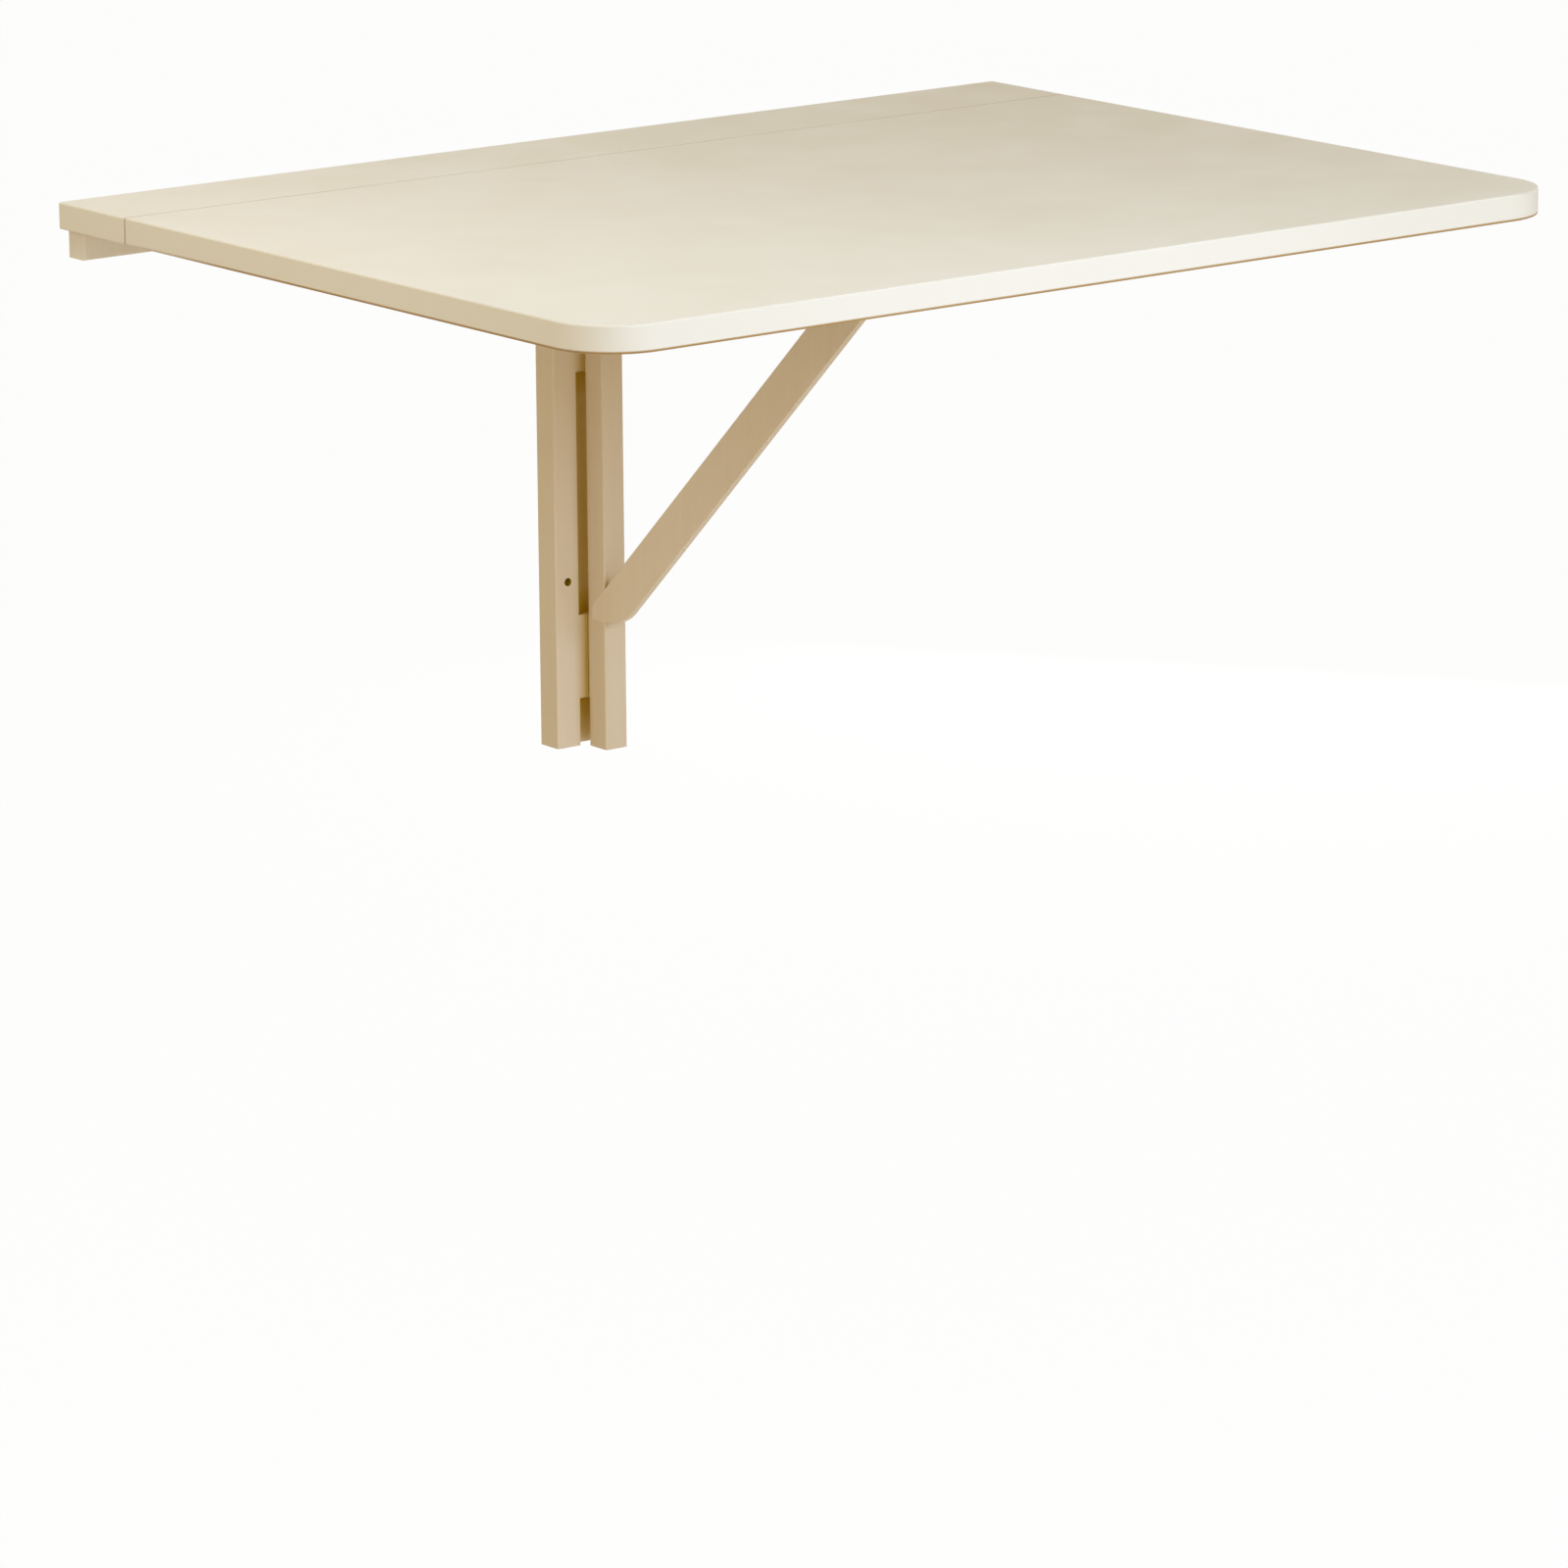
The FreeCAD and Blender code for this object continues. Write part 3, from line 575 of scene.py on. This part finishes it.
# %% [markdown]
# ## Where the screws go
#
# The solid model's own boxes say where the heads are. A hinge plate has a row of three screws, one of them in
# the plate's middle. Across the row, a screw is in the middle of its group's box, and its head is at the end
# of the box that it was driven from.

# %% Screw places
X, Y, Z = range(3)
UPWARDS = Vector((0, 0, 1))
TO_WALL = Vector((0, 1, 0))
FROM_WALL = Vector((0, -1, 0))
LEFTWARDS = Vector((-1, 0, 0))
PLATE_STEPS = (-0.022, 0.0, 0.022)
LEDGER_SCREWS_X = (-0.30, -0.08, 0.08, 0.30)
STRUT_SCREWS_YZ = ((-0.0364, -0.30165), (-0.360, -0.011))


def box_middle(node, axis):
    low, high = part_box(node)
    return (low[axis] + high[axis]) / 2


def head_level(node, direction):
    """The place of the heads along the direction that the screws were driven in."""
    low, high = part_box(node)
    axis = [abs(part) for part in direction].index(1)
    return low[axis] if direction[axis] > 0 else high[axis]


leaf_hinges_x = [box_middle("leaf_hinge_" + side + "_fixed_plate", X) for side in ("left", "middle", "right")]
gate_hinges_z = [box_middle("gate_hinge_" + level + "_wall_plate", Z) for level in ("upper", "lower")]
seam_places = [x + step for x in leaf_hinges_x for step in PLATE_STEPS]
gate_places = [z + step for z in gate_hinges_z for step in PLATE_STEPS]
print("screws along the seam:", len(seam_places), "and up the gate's hinges:", len(gate_places))

# %% [markdown]
# ## Driving the screws
#
# Each group of screws replaces one piece of the solid model, and rides on the same body. A place is the
# middle of a head, and the direction is the way that the screw was driven.

# %% Drive the screws
TURN_STEP = math.radians(37)


def drive_screws(node, body, screw, places, direction):
    shape = bmesh.new()
    facing = direction.to_track_quat("-Z", "Y").to_matrix().to_4x4()
    for number, place in enumerate(places):
        one = bmesh.new()
        one.from_mesh(screw)
        turn = Matrix.Rotation(number * TURN_STEP, 4, "Z")
        bmesh.ops.transform(one, matrix=Matrix.Translation(place) @ facing @ turn, verts=one.verts)
        placed_mesh = bpy.data.meshes.new(node)
        one.to_mesh(placed_mesh)
        one.free()
        shape.from_mesh(placed_mesh)
        bpy.data.meshes.remove(placed_mesh)
    mesh = bpy.data.meshes.new(node + "_recessed")
    shape.to_mesh(mesh)
    shape.free()
    mesh.materials.append(screw_finish)
    piece = bpy.data.objects.new(node + "_recessed", mesh)
    scene.collection.objects.link(piece)
    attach(piece, body)
    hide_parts(node)
    return piece


def drive_along_x(node, body, screw, row):
    """Screws driven upwards, in a row along X."""
    row_y = box_middle(node, Y)
    level = head_level(node, UPWARDS)
    return drive_screws(node, body, screw, [(x, row_y, level) for x in row], UPWARDS)


def drive_up_gate(node, body, direction):
    """The screws of the gate's hinges, in a row along Z."""
    row_x = box_middle(node, X)
    level = head_level(node, direction)
    return drive_screws(node, body, plate_screw, [(row_x, level, z) for z in gate_places], direction)


strut_level = head_level("strut_screw", LEFTWARDS)
driven = [
    drive_along_x("leaf_hinge_fixed_screws", "wall_frame", plate_screw, seam_places),
    drive_along_x("leaf_hinge_drop_screws", "leaf", plate_screw, seam_places),
    drive_up_gate("gate_hinge_wall_screws", "wall_frame", TO_WALL),
    drive_up_gate("gate_hinge_swing_screws", "gate", FROM_WALL),
    drive_along_x("ledger_screws", "wall_frame", ledger_screw, LEDGER_SCREWS_X),
    drive_screws("strut_screw", "gate", strut_screw,
                 [(strut_level, y, z) for y, z in STRUT_SCREWS_YZ], LEFTWARDS),
]
for piece in driven:
    print(piece.name, "faces:", len(piece.data.polygons))

# %% [markdown]
# ## The floor
#
# The background of the photograph is plain white. A wide pale floor stands for it, 0.75 m under the top, as
# in a room. Rays from the camera, and those that metal sees by reflection, find it white, while the light
# that reaches the table from below comes from the floor's own pale colour. A share of the floor's true
# shading stays in the camera's view, so that the table keeps a soft shadow.

# %% Floor
TABLE_HEIGHT = 0.75
FLOOR_SIZE = 40.0
FLOOR_TONE = (0.82, 0.74, 0.64, 1.0)
WHITE = (1.0, 1.0, 1.0, 1.0)
WHITE_SHARE = 0.97


def seen_directly(tree):
    """1 for rays from the camera and for mirrored or refracted ones, 0 for the rays that carry light."""
    path = add_node(tree, "ShaderNodeLightPath").outputs
    camera_or_mirror = calculate(tree, "MAXIMUM", path["Is Camera Ray"], path["Is Glossy Ray"])
    return calculate(tree, "MAXIMUM", camera_or_mirror, path["Is Transmission Ray"])


floor_level = cad_box[1].z - TABLE_HEIGHT
floor_mesh = bpy.data.meshes.new("floor")
shape = bmesh.new()
bmesh.ops.create_grid(shape, x_segments=1, y_segments=1, size=FLOOR_SIZE / 2)
bmesh.ops.translate(shape, verts=shape.verts, vec=(0, 0, floor_level))
shape.to_mesh(floor_mesh)
shape.free()
floor = bpy.data.objects.new("floor", floor_mesh)
scene.collection.objects.link(floor)
floor_finish = bpy.data.materials.new("pale floor")
floor_finish.use_nodes = True
tree = floor_finish.node_tree
pale = add_node(tree, "ShaderNodeBsdfDiffuse", {"Color": FLOOR_TONE})
glow = add_node(tree, "ShaderNodeEmission", {"Color": WHITE, "Strength": 1.0})
white_share = calculate(tree, "MULTIPLY", seen_directly(tree), WHITE_SHARE)
blend = add_node(tree, "ShaderNodeMixShader", {0: white_share, 1: pale.outputs["BSDF"],
                                               2: glow.outputs["Emission"]})
tree.links.new(blend.outputs["Shader"], tree.nodes["Material Output"].inputs["Surface"])
floor_mesh.materials.append(floor_finish)
print("floor at", floor_level)

# %% [markdown]
# ## The room
#
# The world lights the table like a room with warm walls, and the camera sees plain white instead. The picture
# is shown without any film look, so that white stays white.

# %% World
ROOM_TONE = (1.0, 0.88, 0.575, 1.0)
ROOM_STRENGTH = 0.52

world = bpy.data.worlds.new("studio")
scene.world = world
world.use_nodes = True
tree = world.node_tree
room = add_node(tree, "ShaderNodeBackground", {"Color": ROOM_TONE, "Strength": ROOM_STRENGTH})
white = add_node(tree, "ShaderNodeBackground", {"Color": WHITE, "Strength": 1.0})
blend = add_node(tree, "ShaderNodeMixShader", {0: seen_directly(tree), 1: room.outputs["Background"],
                                               2: white.outputs["Background"]})
tree.links.new(blend.outputs["Shader"], tree.nodes["World Output"].inputs["Surface"])
scene.view_settings.view_transform = "Standard"
print("room light:", ROOM_STRENGTH, "view:", scene.view_settings.view_transform)

# %% [markdown]
# ## Studio lamps
#
# The top is brightest at its left end, the front edge is nearly white, and the end faces and the gate under
# the top stay in warm shade. So one soft box hangs above the left end, and a second stands in front, a little
# higher than the top: it reaches the front edge, but the top keeps it off most of the gate. Two weaker ones
# lift the left end and the lower part of the posts. A fifth stands low behind the wall's plane at the right,
# where this camera sees nothing of it, and gives the right and back sides a plain level of light. The warm
# room does the rest.

# %% Lamps
def soft_box(name, place, target, width, height, power, tone):
    lamp = bpy.data.lights.new(name, "AREA")
    lamp.shape = "RECTANGLE"
    lamp.size = width
    lamp.size_y = height
    lamp.energy = power
    lamp.color = tone
    holder = bpy.data.objects.new(name, lamp)
    scene.collection.objects.link(holder)
    aim = (Vector(target) - Vector(place)).to_track_quat("-Z", "Y")
    holder.matrix_world = Matrix.Translation(place) @ aim.to_matrix().to_4x4()
    holder.visible_camera = False
    holder.visible_glossy = False
    return holder


lamps = [
    soft_box("soft_box_above", place=(-0.62, -0.20, 0.75), target=(-0.42, -0.22, 0.0),
             width=0.5, height=0.5, power=2.9, tone=(0.84, 0.92, 1.0)),
    soft_box("soft_box_front", place=(0.0, -1.4, 0.36), target=(0.0, -0.6, 0.02),
             width=1.3, height=0.3, power=10.5, tone=(0.57, 0.735, 1.0)),
    soft_box("soft_box_left", place=(-1.5, -0.45, 0.44), target=(-0.3, -0.1, 0.0),
             width=0.6, height=0.5, power=2.5, tone=(1.0, 0.95, 0.86)),
    soft_box("soft_box_low", place=(-0.4, -3.0, -0.25), target=(0.0, -0.1, -0.2),
             width=1.0, height=1.0, power=7.0, tone=(0.92, 0.95, 1.0)),
    soft_box("soft_box_back", place=(1.5, 0.9, -0.38), target=(0.0, -0.2, -0.1),
             width=0.9, height=0.5, power=14.0, tone=(0.8, 0.88, 1.0)),
]
print("lamps:", [lamp.name for lamp in lamps])
